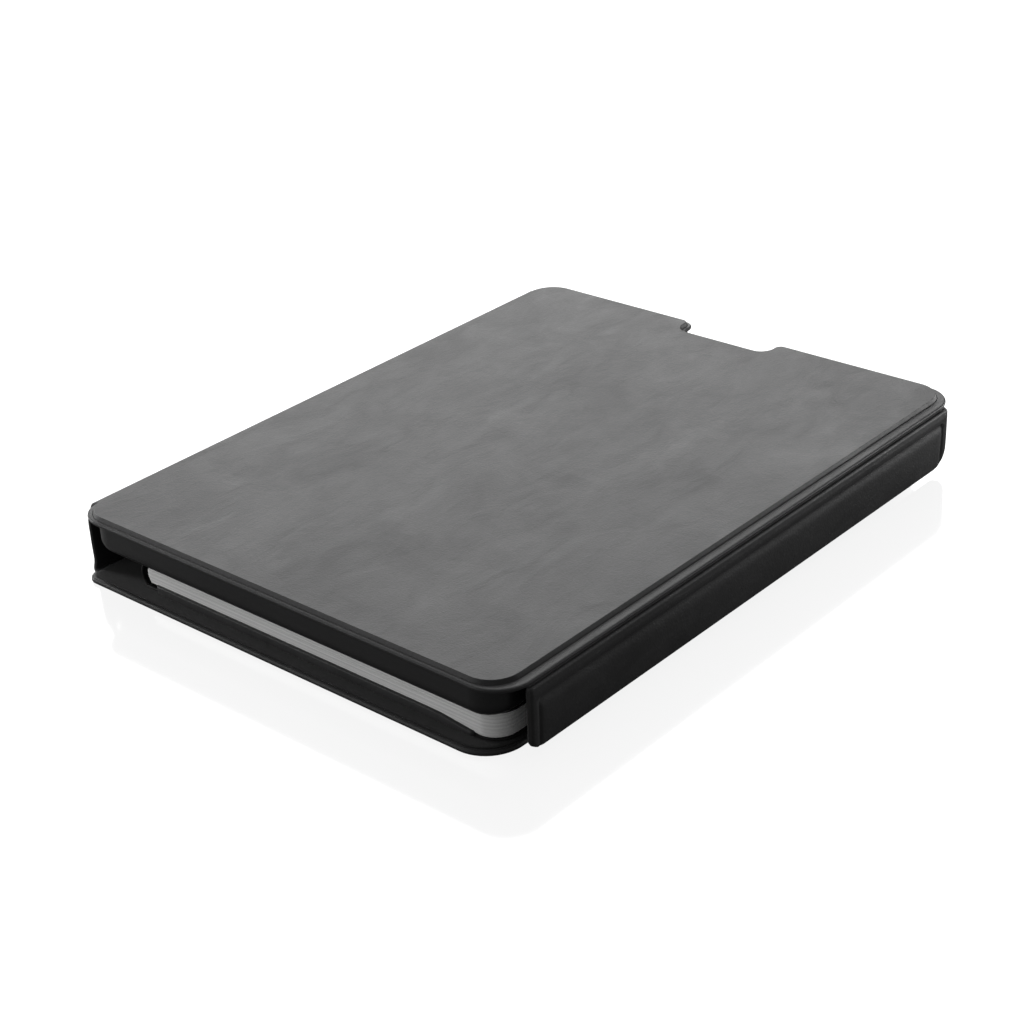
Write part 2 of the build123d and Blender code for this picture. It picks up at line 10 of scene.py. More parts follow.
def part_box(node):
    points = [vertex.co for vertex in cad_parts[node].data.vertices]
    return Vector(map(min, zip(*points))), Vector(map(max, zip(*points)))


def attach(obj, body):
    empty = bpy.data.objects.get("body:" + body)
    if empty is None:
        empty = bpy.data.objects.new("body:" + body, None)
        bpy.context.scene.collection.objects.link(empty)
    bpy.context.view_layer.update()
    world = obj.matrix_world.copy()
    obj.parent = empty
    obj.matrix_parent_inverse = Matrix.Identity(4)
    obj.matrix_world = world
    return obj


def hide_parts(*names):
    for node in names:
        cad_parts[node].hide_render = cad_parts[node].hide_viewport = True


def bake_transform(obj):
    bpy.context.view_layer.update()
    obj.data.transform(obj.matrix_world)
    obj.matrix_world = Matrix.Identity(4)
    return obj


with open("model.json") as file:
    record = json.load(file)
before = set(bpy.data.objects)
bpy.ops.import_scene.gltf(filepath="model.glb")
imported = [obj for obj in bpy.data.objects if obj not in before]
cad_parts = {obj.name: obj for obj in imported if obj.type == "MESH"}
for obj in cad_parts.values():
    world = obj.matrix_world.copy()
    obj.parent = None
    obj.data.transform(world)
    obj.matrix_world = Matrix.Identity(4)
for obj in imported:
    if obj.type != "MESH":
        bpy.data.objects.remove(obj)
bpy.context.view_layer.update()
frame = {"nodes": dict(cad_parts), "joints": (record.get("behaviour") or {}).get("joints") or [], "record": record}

bl_info = {
    "name": "Charging folio",
    "version": (1, 0, 0),
    "blender": (4, 5, 0),
    "location": "View3D > Sidebar > Folio",
    "description": "Leatherette notebook folio whose front cover is a wireless charger",
    "category": "Object",
}

MM = 0.001

# Places that every piece is worked out from, all in metres.
COVER_LOW, COVER_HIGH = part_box("cover_outer_skin")
BASE_LOW, BASE_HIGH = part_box("base_outer_skin")
LINING_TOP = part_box("base_lining")[1].z
WALL_LOW, WALL_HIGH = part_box("spine_outer_skin")
FLAP_LOW, FLAP_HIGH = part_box("flap_outer_skin")
PAGES_LOW, PAGES_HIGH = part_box("page_block")
BAND_LOW, BAND_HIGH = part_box("pocket_sleeve")
FRONT_LOW, FRONT_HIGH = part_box("notebook_front_cover")
BACK_LOW, BACK_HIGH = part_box("notebook_back_cover")
BOOK_SPINE_LOW, BOOK_SPINE_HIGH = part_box("notebook_spine")

# Corner radii.
COVER_RADIUS = 10.9 * MM
PANEL_LEFT_RADIUS = 9.6 * MM
PANEL_RIGHT_RADIUS = 9.3 * MM
NOTCH_MOUTH_RADIUS = 4.0 * MM
NOTCH_INNER_RADIUS = 3.0 * MM
BACK_LEFT_RADIUS = 4.0 * MM
BACK_RIGHT_RADIUS = 11.8 * MM
BOARD_LEFT_RADIUS = 0.9 * MM
BOARD_RIGHT_RADIUS = 7.2 * MM
LEAF_LEFT_RADIUS = 0.8 * MM
LEAF_RIGHT_RADIUS = 7.0 * MM
BAND_RADIUS = 1.2 * MM
FLAP_FAR_RADIUS = 5.5 * MM
FLAP_NEAR_RADIUS = 2.8 * MM

BAND_SLOPE = 14 * MM  # length of the band's slanting end
FLAP_LEAN = 0.5 * MM  # how far the flap's lower edge lies inwards of its fold
GRAIN_HIGHLIGHT = 1.2  # painted highlight: how much lighter the tops of the leatherette's grain are painted
LIGHT_DIM, LIGHT_BRIGHT = 0.13, 0.14  # the table's share of light sent on to what stands on it

HINGE = {joint["name"]: Vector(joint["pos_m"]) for joint in frame["joints"] if "pos_m" in joint}


# ------------------------------------------------------------------ shapes
def smooth_step(low, high, value):
    """0 below low, 1 above high, and an even ease between."""
    t = min(max((value - low) / (high - low), 0.0), 1.0)
    return t * t * (3 - 2 * t)


def finished(name, bm, material, body=None, sharp=35.0):
    """Turns a bmesh into a smooth-shaded piece with its material."""
    bmesh.ops.recalc_face_normals(bm, faces=bm.faces)
    mesh = bpy.data.meshes.new(name)
    bm.to_mesh(mesh)
    bm.free()
    mesh.materials.append(material)
    mesh.shade_smooth()
    mesh.set_sharp_from_angle(angle=math.radians(sharp))
    piece = bpy.data.objects.new(name, mesh)
    bpy.context.scene.collection.objects.link(piece)
    if body:
        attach(piece, body)
    return piece


def arc(centre_x, centre_y, radius, start, end, steps):
    """Points along an arc, angles in degrees."""
    points = []
    for index in range(steps + 1):
        angle = math.radians(start + (end - start) * index / steps)
        x = centre_x + radius * math.cos(angle)
        points.append((x, centre_y + radius * math.sin(angle)))
    return points


def joined(runs, pieces):
    """Closes a list of arcs into one loop, each straight run cut into equal pieces."""
    loop = []
    for index, run in enumerate(runs):
        loop += run
        ax, ay = run[-1]
        bx, by = runs[(index + 1) % len(runs)][0]
        for step in range(1, pieces):
            t = step / pieces
            loop.append((ax + (bx - ax) * t, ay + (by - ay) * t))
    return loop


def plain_loop(x0, x1, y0, y1, left, right, inset, steps=12, pieces=8):
    """A rectangle with one corner radius on each long side, drawn in by inset."""
    a, b = max(left - inset, 0.0001), max(right - inset, 0.0001)
    runs = [
        arc(x0 + left, y0 + left, a, 180, 270, steps),
        arc(x1 - right, y0 + right, b, 270, 360, steps),
        arc(x1 - right, y1 - right, b, 0, 90, steps),
        arc(x0 + left, y1 - left, a, 90, 180, steps),
    ]
    return joined(runs, pieces)


def notched_loop(x0, x1, half, left, right, notch, inset, steps=12, pieces=10):
    """The cover's outline with the notch in its far end, drawn in by inset."""
    width, depth, mouth, inner = notch
    top = half
    floor = half - depth
    a, b = max(left - inset, 0.0001), max(right - inset, 0.0001)
    m, n = max(mouth - inset, 0.0001), inner + inset
    runs = [
        arc(x0 + left, -half + left, a, 180, 270, steps),
        arc(x1 - right, -half + right, b, 270, 360, steps),
        arc(x1 - right, top - right, b, 0, 90, steps),
        arc(width / 2 + mouth, top - mouth, m, 90, 180, steps),
        arc(width / 2 - inner, floor + inner, n, 0, -90, steps),
        arc(-width / 2 + inner, floor + inner, n, 270, 180, steps),
        arc(-width / 2 - mouth, top - mouth, m, 0, 90, steps),
        arc(x0 + left, top - left, a, 90, 180, steps),
    ]
    return joined(runs, pieces)


def bridge(bm, lower, upper):
    """Quads between two closed loops of vertices."""
    count = len(lower)
    for index in range(count):
        after = (index + 1) % count
        bm.faces.new((lower[index], lower[after], upper[after], upper[index]))


def stacked(bm, rings, close_low=True, close_high=True):
    """Joins rings of (x, y, z) points, lowest first, and closes the two ends."""
    loops = [[bm.verts.new(point) for point in ring] for ring in rings]
    for lower, upper in zip(loops, loops[1:]):
        bridge(bm, lower, upper)
    if close_low:
        bm.faces.new(list(reversed(loops[0])))
    if close_high:
        bm.faces.new(loops[-1])
    return loops


def level(loop, z):
    """A flat loop at one height."""
    return [(x, y, z) for x, y in loop]


def stations(near, far, rim, middle):
    """Places along a sheet, close together near both ends and even between."""
    inner_near, inner_far = near + rim[-1], far - rim[-1]
    places = [near + step for step in rim[:-1]]
    for index in range(middle + 1):
        places.append(inner_near + (inner_far - inner_near) * index / middle)
    places += [far - step for step in reversed(rim[:-1])]
    return places


def sheet_body(bm, path, half_thickness, ends, rim, middle=36, press=None, round_steps=4):
    """A thick sheet swept along a path in X and Z, with rounded edges at both ends.

    ends(i) gives the sheet's near and far Y at path point i, and press(i, y) how
    far its outer face is pushed in there."""
    loops = []
    count = len(path)
    for index, (x, z) in enumerate(path):
        ax, az = path[max(index - 1, 0)]
        bx, bz = path[min(index + 1, count - 1)]
        length = math.hypot(bx - ax, bz - az)
        out_x, out_z = (bz - az) / length, -(bx - ax) / length
        half = half_thickness(index) if callable(half_thickness) else half_thickness
        near, far = ends(index)
        loop = []
        for y in stations(near + half, far - half, rim, middle):
            loop.append((x + out_x * half, y, z + out_z * half))
        for step in range(1, round_steps):
            turn = math.pi * step / round_steps
            reach = half * math.cos(turn)
            y = far - half + half * math.sin(turn)
            loop.append((x + out_x * reach, y, z + out_z * reach))
        for y in reversed(stations(near + half, far - half, rim, middle)):
            reach = half - (press(index, y) if press else 0.0)
            loop.append((x - out_x * reach, y, z - out_z * reach))
        for step in range(1, round_steps):
            turn = math.pi * step / round_steps
            reach = -half * math.cos(turn)
            y = near + half - half * math.sin(turn)
            loop.append((x + out_x * reach, y, z + out_z * reach))
        loops.append(loop)
    return stacked(bm, loops)


def curve_through(points, steps):
    """A smooth line through points, with the given number of steps for each span."""
    line = []
    last = len(points) - 1
    for index in range(last):
        before = points[max(index - 1, 0)]
        start, end = points[index], points[index + 1]
        after = points[min(index + 2, last)]
        for step in range(steps):
            t = step / steps
            blend = []
            for p, q, r, s in zip(before, start, end, after):
                a = 2 * q
                b = (r - p) * t
                c = (2 * p - 5 * q + 4 * r - s) * t * t
                d = (3 * q - p - 3 * r + s) * t * t * t
                blend.append(0.5 * (a + b + c + d))
            line.append(tuple(blend))
    line.append(tuple(points[-1]))
    return line


# ------------------------------------------------------------------ shader maths
# The colour sockets of a Mix node, which shares its sockets' names between kinds of value.
MIX_FIRST, MIX_SECOND, MIX_RESULT = 6, 7, 2


class Wire:
    """A shader value or vector that can be used in ordinary expressions."""

    def __init__(self, finish, socket):
        self.finish = finish
        self.socket = socket

    def _maths(self, operation, first, second=None):
        values = {0: first} if second is None else {0: first, 1: second}
        return self.finish.node("ShaderNodeMath", {"operation": operation}, values)

    def __add__(self, other):
        return self._maths("ADD", self, other)

    __radd__ = __add__

    def __sub__(self, other):
        return self._maths("SUBTRACT", self, other)

    def __rsub__(self, other):
        return self._maths("SUBTRACT", other, self)

    def __mul__(self, other):
        return self._maths("MULTIPLY", self, other)

    __rmul__ = __mul__

    def __truediv__(self, other):
        return self._maths("DIVIDE", self, other)

    def __pow__(self, other):
        return self._maths("POWER", self, other)

    def least(self, other):
        return self._maths("MINIMUM", self, other)

    def size(self):
        return self._maths("ABSOLUTE", self)

    def sine(self):
        return self._maths("SINE", self)

    def ease(self, low, high):
        """0 below low, 1 above high."""
        settings = {"interpolation_type": "SMOOTHSTEP"}
        values = {"Value": self, "From Min": low, "From Max": high}
        return self.finish.node("ShaderNodeMapRange", settings, values, "Result")


class Finish:
    """One material, built node by node."""

    def __init__(self, name):
        self.material = bpy.data.materials.new(name)
        self.material.use_nodes = True
        self.tree = self.material.node_tree
        self.shader = self.tree.nodes["Principled BSDF"]
        self.place = self.node("ShaderNodeTexCoord", {}, {}, "Object")

    def node(self, kind, settings, inputs, output=0):
        """Adds a node, sets its settings, then its values or links, and gives an output."""
        made = self.tree.nodes.new(kind)
        for key, value in settings.items():
            if key == "stops":
                ramp = made.color_ramp
                while len(ramp.elements) < len(value):
                    ramp.elements.new(0.5)
                for element, (position, colour) in zip(ramp.elements, value):
                    element.position = position
                    element.color = colour
            else:
                setattr(made, key, value)
        for key, value in inputs.items():
            self.feed(made.inputs[key], value)
        return Wire(self, made.outputs[output])

    def feed(self, socket, value):
        if isinstance(value, Wire):
            self.tree.links.new(value.socket, socket)
        elif socket.type == "RGBA" and len(value) == 3:
            socket.default_value = (*value, 1.0)
        else:
            socket.default_value = value

    def set(self, **values):
        """Sets the shader's own sockets, with _ for a space in their names."""
        for key, value in values.items():
            self.feed(self.shader.inputs[key.replace("_", " ")], value)
        return self.material

    def noise(self, scale, detail=3.0, rough=0.55, at=None, distort=0.0):
        values = {"Vector": at or self.place, "Scale": scale, "Detail": detail}
        values.update({"Roughness": rough, "Distortion": distort})
        return self.node("ShaderNodeTexNoise", {}, values, "Fac")

    def cells(self, scale, feature="F1"):
        values = {"Vector": self.place, "Scale": scale, "Randomness": 1.0}
        return self.node("ShaderNodeTexVoronoi", {"feature": feature}, values, "Distance")

    def axes(self):
        """The three coordinates as separate values."""
        first = self.node("ShaderNodeSeparateXYZ", {}, {0: self.place})
        outputs = self.tree.nodes[-1].outputs
        return first, Wire(self, outputs[1]), Wire(self, outputs[2])

    def stretched(self, scale):
        settings = {"operation": "MULTIPLY"}
        return self.node("ShaderNodeVectorMath", settings, {0: self.place, 1: scale})

    def mix(self, factor, first, second):
        """Mixes two colours."""
        values = {0: factor, MIX_FIRST: first, MIX_SECOND: second}
        return self.node("ShaderNodeMix", {"data_type": "RGBA"}, values, MIX_RESULT)

    def bump(self, height, depth, strength=1.0, under=None):
        """Surface relief of a real depth in metres."""
        values = {"Height": height, "Distance": depth, "Strength": strength}
        if under:
            values["Normal"] = under
        return self.node("ShaderNodeBump", {}, values, "Normal")


def shade(colour, amount):
    """A colour made lighter or darker."""
    return tuple(min(part * amount, 1.0) for part in colour)


def leatherette(name, colour, grain, depth, roughness):
    """Coated cloth with a fine pebbled grain, faint creases and scuffs, and a painted highlight on the grain's
    high spots.
    """
    finish = Finish(name)
    pebble = finish.cells(1 / grain, "SMOOTH_F1")
    fine = finish.cells(2.3 / grain, "F1")
    valley = finish.noise(0.35 / grain, 4.0, 0.6)
    cloud = finish.noise(38.0, 5.0, 0.62, distort=0.6)
    scuff = finish.noise(120.0, 6.0, 0.7, at=finish.stretched((1.0, 0.35, 1.0)), distort=1.5)
    hair = 1 - ((scuff - 0.5).size() * 14).least(1.0)
    relief = pebble * 0.6 + fine * 0.25 + valley * 0.35 - hair * 0.12
    tone = cloud.ease(0.3, 0.7)
    blotch = (tone * 0.6 + scuff.ease(0.35, 0.65) * 0.4)
    base = finish.mix(blotch, shade(colour, 0.8), shade(colour, 1.2))
    # painted highlight: the fine grain's raised tops are coloured lighter
    highlighted_base = finish.mix(fine.ease(0.05, 0.75) * 0.3, base, shade(colour, GRAIN_HIGHLIGHT))
    rough = roughness + (cloud - 0.5) * 0.2 + (scuff - 0.5) * 0.2 + (pebble - 0.4) * 0.06
    slow = finish.bump(cloud + scuff * 0.4, 0.0005, 0.5)
    return finish.set(
        Base_Color=highlighted_base,
        Roughness=rough,
        Normal=finish.bump(relief, depth, 0.8, under=slow),
        Specular_IOR_Level=0.34,
    )


def suede(name, colour):
    """Short-napped lining."""
    finish = Finish(name)
    nap = finish.noise(5200.0, 4.0, 0.7)
    stroke = finish.noise(60.0, 3.0, 0.55, at=finish.stretched((1.0, 0.25, 1.0)))
    base = finish.mix(stroke.ease(0.3, 0.7), shade(colour, 0.82), shade(colour, 1.18))
    return finish.set(
        Base_Color=base,
        Roughness=0.86 + nap * 0.1,
        Normal=finish.bump(nap, 0.00006, 0.7),
        Sheen_Weight=0.25,
        Sheen_Roughness=0.5,
        Specular_IOR_Level=0.15,
    )


def moulded(name, colour, roughness, texture=0.00003, specular=0.4):
    """Moulded plastic with a spark-eroded texture and faint flow marks."""
    finish = Finish(name)
    spark = finish.noise(4200.0, 2.0, 0.6)
    flow = finish.noise(22.0, 2.0, 0.5, at=finish.stretched((1.0, 0.3, 2.0)))
    base = finish.mix(flow.ease(0.25, 0.75), shade(colour, 0.92), shade(colour, 1.1))
    return finish.set(
        Base_Color=base,
        Roughness=roughness + (spark - 0.5) * 0.1 + (flow - 0.5) * 0.06,
        Normal=finish.bump(spark, texture, 0.5),
        Specular_IOR_Level=specular,
    )


def bookcloth(name, colour):
    """Closely woven binding cloth: two crossing threads with a slub now and then."""
    finish = Finish(name)
    x, y, z = finish.axes()
    pitch = 2 * math.pi / 0.00042
    warp = ((x + z) * pitch).sine() * 0.5 + 0.5
    weft = ((y + z * 0.5) * pitch).sine() * 0.5 + 0.5
    slub = finish.noise(420.0, 3.0, 0.6, at=finish.stretched((1.0, 0.12, 1.0)))
    weave = warp * weft + slub * 0.5
    base = finish.mix(weave.ease(0.1, 1.1), shade(colour, 0.7), shade(colour, 1.5))
    return finish.set(
        Base_Color=base,
        Roughness=0.62 + slub * 0.2,
        Normal=finish.bump(weave, 0.00008, 0.7),
        Specular_IOR_Level=0.3,
    )


def paper_edge(name, colour):
    """The cut edge of many leaves: fine lines along the stack, none of them quite even."""
    finish = Finish(name)
    x, y, z = finish.axes()
    drift = finish.noise(9.0, 2.0, 0.5) * 0.00025
    leaf = ((z + drift) * (2 * math.pi / 0.00016)).sine() * 0.5 + 0.5
    section = ((z + drift) * (2 * math.pi / 0.0011)).sine() * 0.5 + 0.5
    streak = finish.noise(700.0, 3.0, 0.65, at=finish.stretched((0.03, 0.03, 6.0)))
    mark = leaf * 0.25 + section * 0.2 + streak * 0.75
    base = finish.mix(mark.ease(0.15, 0.95), shade(colour, 0.74), shade(colour, 1.12))
    return finish.set(
        Base_Color=base,
        Roughness=0.84 + streak * 0.1,
        Normal=finish.bump(mark, 0.00012, 0.8),
        Specular_IOR_Level=0.2,
    )


def fibreboard(name, colour):
    """Pressed board with loose fibres in it."""
    finish = Finish(name)
    fibre = finish.noise(900.0, 5.0, 0.7, at=finish.stretched((0.35, 1.0, 1.6)), distort=1.2)
    fleck = finish.cells(650.0)
    base = finish.mix(fibre.ease(0.3, 0.7), shade(colour, 0.75), shade(colour, 1.15))
    base = finish.mix(1 - fleck.ease(0.02, 0.2), base, shade(colour, 0.5))
    return finish.set(
        Base_Color=base,
        Roughness=0.88 + fibre * 0.08,
        Normal=finish.bump(fibre, 0.00008, 0.7),
    )


def open_foam(name, colour):
    """Fine open-celled foam."""
    finish = Finish(name)
    bubble = finish.cells(2600.0, "SMOOTH_F1")
    cloud = finish.noise(80.0)
    base = finish.mix(bubble.ease(0.05, 0.5), shade(colour, 0.45), shade(colour, 1.15))
    return finish.set(
        Base_Color=base,
        Roughness=0.9 + cloud * 0.06,
        Normal=finish.bump(bubble, 0.00012, 0.9),
        Specular_IOR_Level=0.2,
    )


def metal(name, colour, roughness, lay=(1.0, 14.0, 1.0), scale=900.0):
    """Bare or plated metal with a rolled or turned grain along one direction."""
    finish = Finish(name)
    grain = finish.noise(scale, 3.0, 0.6, at=finish.stretched(lay))
    stain = finish.noise(60.0, 3.0, 0.5)
    base = finish.mix(stain.ease(0.3, 0.8), shade(colour, 0.9), shade(colour, 1.05))
    return finish.set(
        Base_Color=base,
        Metallic=1.0,
        Roughness=roughness + (grain - 0.5) * 0.16 + (stain - 0.5) * 0.08,
        Normal=finish.bump(grain, 0.00001, 0.4),
    )


def wound_copper(name, colour, centre):
    """Enamelled stranded wire laid in rings round a centre."""
    finish = Finish(name)
    x, y, z = finish.axes()
    dx, dy = x - centre.x, y - centre.y
    radius = (dx * dx + dy * dy) ** 0.5
    strand = (radius * (2 * math.pi / 0.00028)).sine() * 0.5 + 0.5
    lay = finish.noise(1400.0, 2.0, 0.5)
    base = finish.mix(strand * 0.7 + lay * 0.3, shade(colour, 0.5), shade(colour, 1.15))
    return finish.set(
        Base_Color=base,
        Metallic=0.9,
        Roughness=0.3 + lay * 0.14,
        Coat_Weight=0.4,
        Normal=finish.bump(strand + lay * 0.4, 0.00008, 0.8),
    )


def solder_mask(name, colour):
    """Coated laminate, with the copper runs under the coat seen as faint raised lanes."""
    finish = Finish(name)
    x, y, z = finish.axes()
    lanes = ((x * (2 * math.pi / 0.0016)).sine() + (y * (2 * math.pi / 0.0021)).sine())
    lane = lanes.ease(0.7, 0.95)
    weave = finish.noise(2400.0, 2.0, 0.5)
    base = finish.mix(lane, colour, shade(colour, 1.7))
    base = finish.mix(weave * 0.25, base, shade(colour, 0.6))
    return finish.set(
        Base_Color=base,
        Roughness=0.3 + weave * 0.12,
        Coat_Weight=0.5,
        Normal=finish.bump(lane + weave * 0.1, 0.00003, 0.6),
    )


def clear_plastic(name, colour, alpha):
    """Water-clear moulded light guide with faint haze."""
    finish = Finish(name)
    haze = finish.noise(900.0, 2.0, 0.5)
    base = finish.mix(haze * 0.3, colour, shade(colour, 0.9))
    return finish.set(
        Base_Color=base,
        Roughness=0.12 + haze * 0.1,
        Alpha=alpha,
        Normal=finish.bump(haze, 0.00001, 0.3),
    )


def lit_package(name, colour):
    """A lamp package: milky resin over a paler chip."""
    finish = Finish(name)
    milk = finish.noise(1500.0, 2.0, 0.5)
    base = finish.mix(milk.ease(0.3, 0.7), shade(colour, 0.85), colour)
    return finish.set(
        Base_Color=base,
        Roughness=0.35 + milk * 0.15,
        Coat_Weight=0.3,
        Normal=finish.bump(milk, 0.00002, 0.4),
    )


def lit_table(name, colour):
    """A white table lit from below: bright to look at, and much dimmer on what stands on it."""
    finish = Finish(name)
    cloud = finish.noise(1.5, 2.0)
    base = finish.mix(cloud, shade(colour, LIGHT_DIM), shade(colour, LIGHT_BRIGHT))
    finish.set(Base_Color=base, Roughness=0.7)
    glow = {
        "Base Color": (0.08, 0.08, 0.08, 1.0),
        "Roughness": 0.09,
        "Specular IOR Level": 0.9,
        "Emission Color": (*colour, 1.0),
        "Emission Strength": 1.02,
    }
    seen = finish.node("ShaderNodeBsdfPrincipled", {}, glow, "BSDF")
    look = finish.node("ShaderNodeLightPath", {}, {}, "Is Camera Ray")
    dim = Wire(finish, finish.shader.outputs["BSDF"])
    both = finish.node("ShaderNodeMixShader", {}, {0: look, 1: dim, 2: seen})
    finish.feed(finish.tree.nodes["Material Output"].inputs["Surface"], both)
    return finish.material


# ------------------------------------------------------------------ settings
def length(name, description, default):
    """A size in metres that the panel shows as a length."""
    return bpy.props.FloatProperty(
        name=name, description=description, default=default, min=0.0, unit="LENGTH", precision=5
    )


def angle(name, description, degrees):
    return bpy.props.FloatProperty(
        name=name, description=description, default=math.radians(degrees), unit="ROTATION"
    )


def paint(name, description, default):
    return bpy.props.FloatVectorProperty(
        name=name, description=description, default=default, size=3,
        min=0.0, max=1.0, subtype="COLOR",
    )


class FolioSizes(bpy.types.PropertyGroup):
    """Sizes that shape the leatherette, the book and the notch."""

    bead: length("Edge bead", "Height of the rolled edge round the front cover", 1.35 * MM)
    shoulder: length("Shoulder", "Width of the slope up to the raised panel", 0.5 * MM)
    strip: length("Flap strip", "Width of the flat strip beside the flap", 3.1 * MM)
    notch_width: length("Notch width", "Width of the notch in the far end", 33.5 * MM)
    notch_depth: length("Notch depth", "Depth of the notch in the far end", 8.0 * MM)
    wall: length("Spine wall", "Thickness of the spine wall", 1.5 * MM)
    flap: length("Flap thickness", "Thickness of the flap", 2.0 * MM)
    crease_drop: length("Crease drop", "Fold to the pressed line along the flap", 5.6 * MM)
    crease_inset: length("Crease inset", "Flap's ends to the pressed line", 3.5 * MM)
    crease_depth: length("Crease depth", "Depth of the pressed line", 0.5 * MM)
    grain: length("Leather grain", "Width of one pebble of the grain", 0.55 * MM)
    leaf: length("Leaf", "Height of one visible group of leaves", 0.16 * MM)


class FolioColours(bpy.types.PropertyGroup):
    """Colours of the folio's own finishes."""

    leather: paint("Leatherette", "Outside of the folio", (0.022, 0.022, 0.0225))
    lining: paint("Lining", "Inside of the folio", (0.0035, 0.0035, 0.0037))
    housing: paint("Housing", "Charger housing and key", (0.010, 0.010, 0.0104))
    cloth: paint("Book cloth", "Notebook boards and spine", (0.006, 0.006, 0.006))
    paper: paint("Paper", "Notebook leaves", (0.85, 0.85, 0.845))
    board: paint("Greyboard", "Stiffening boards", (0.33, 0.31, 0.28))
    foam: paint("Foam", "Foam under the raised panel", (0.10, 0.10, 0.10))
    copper: paint("Copper", "Transmitter winding", (0.74, 0.36, 0.19))
    laminate: paint("Laminate", "Circuit board", (0.01, 0.11, 0.05))
    floor: paint("Floor", "The table under the folio", (0.86, 0.86, 0.86))


class FolioCamera(bpy.types.PropertyGroup):
    """Where the picture is taken from."""

    azimuth: angle("Azimuth", "Round the folio from its near short end", 42.904)
    elevation: angle("Elevation", "Above the table", 27.801)
    roll: angle("Roll", "Turn about the line of sight", 3.603)
    away_x: length("Across", "Camera to the right of the folio's middle", 383.5 * MM)
    away_y: length("Forward", "Camera in front of the folio's middle", 421.0 * MM)
    height: length("Height", "Camera above the table", 303.0 * MM)
    lens: bpy.props.FloatProperty(
        name="Lens", description="Focal length in millimetres", default=73.71, subtype="NONE"
    )


def sizes():
    return bpy.context.scene.folio_sizes


def colours():
    return bpy.context.scene.folio_colours


MADE = {}  # the finishes made so far, by name


def finish_of(name):
    """The finish of that name, made the first time that it is asked for."""
    if name in MADE:
        return MADE[name]
    own = colours()
    coil_low, coil_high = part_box("transmitter_coil")
    makers = {
        "leatherette": lambda: leatherette(name, own.leather, sizes().grain, 0.00007, 0.5),
        "lining": lambda: suede(name, own.lining),
        "housing": lambda: moulded(name, own.housing, 0.4, specular=0.5),
        "book_cloth": lambda: bookcloth(name, own.cloth),
        "paper": lambda: paper_edge(name, own.paper),
        "greyboard": lambda: fibreboard(name, own.board),
        "foam": lambda: open_foam(name, own.foam),
        "copper": lambda: wound_copper(name, own.copper, (coil_low + coil_high) / 2),
        "board_laminate": lambda: solder_mask(name, own.laminate),
        "magnet": lambda: metal(name, (0.62, 0.62, 0.64), 0.22),
        "screw_steel": lambda: metal(name, (0.52, 0.52, 0.54), 0.34),
        "socket_metal": lambda: metal(name, (0.62, 0.62, 0.62), 0.3, (1.0, 0.2, 8.0)),
        "switch_metal": lambda: metal(name, (0.55, 0.54, 0.52), 0.36),
        "cell_pouch": lambda: metal(name, (0.66, 0.67, 0.69), 0.42, (1.0, 1.0, 1.0), 240.0),
        "ferrite": lambda: moulded(name, (0.055, 0.055, 0.06), 0.5, 0.00005),
        "inductor": lambda: moulded(name, (0.09, 0.09, 0.092), 0.55, 0.00005),
        "chip_black": lambda: moulded(name, (0.014, 0.014, 0.015), 0.45, 0.00002),
        "capacitor": lambda: moulded(name, (0.30, 0.20, 0.11), 0.4, 0.00002),
        "plug_plastic": lambda: moulded(name, (0.74, 0.71, 0.63), 0.45),
        "lead_sleeve": lambda: moulded(name, (0.42, 0.03, 0.025), 0.5, 0.00002),
        "tape": lambda: suede(name, (0.62, 0.61, 0.58)),
        "light_guide": lambda: clear_plastic(name, (0.9, 0.92, 0.95), 0.6),
        "lamp": lambda: lit_package(name, (0.86, 0.84, 0.66)),
    }
    MADE[name] = makers[name]()
    return MADE[name]


def dressed(*nodes):
    """Gives carried-over CAD nodes the finish that their record slot names."""
    slots = {row["node"]: row["material_slot"] for row in frame["record"]["subparts"]}
    for node in nodes:
        mesh = frame["nodes"][node].data
        mesh.materials.clear()
        mesh.materials.append(finish_of(slots[node]))


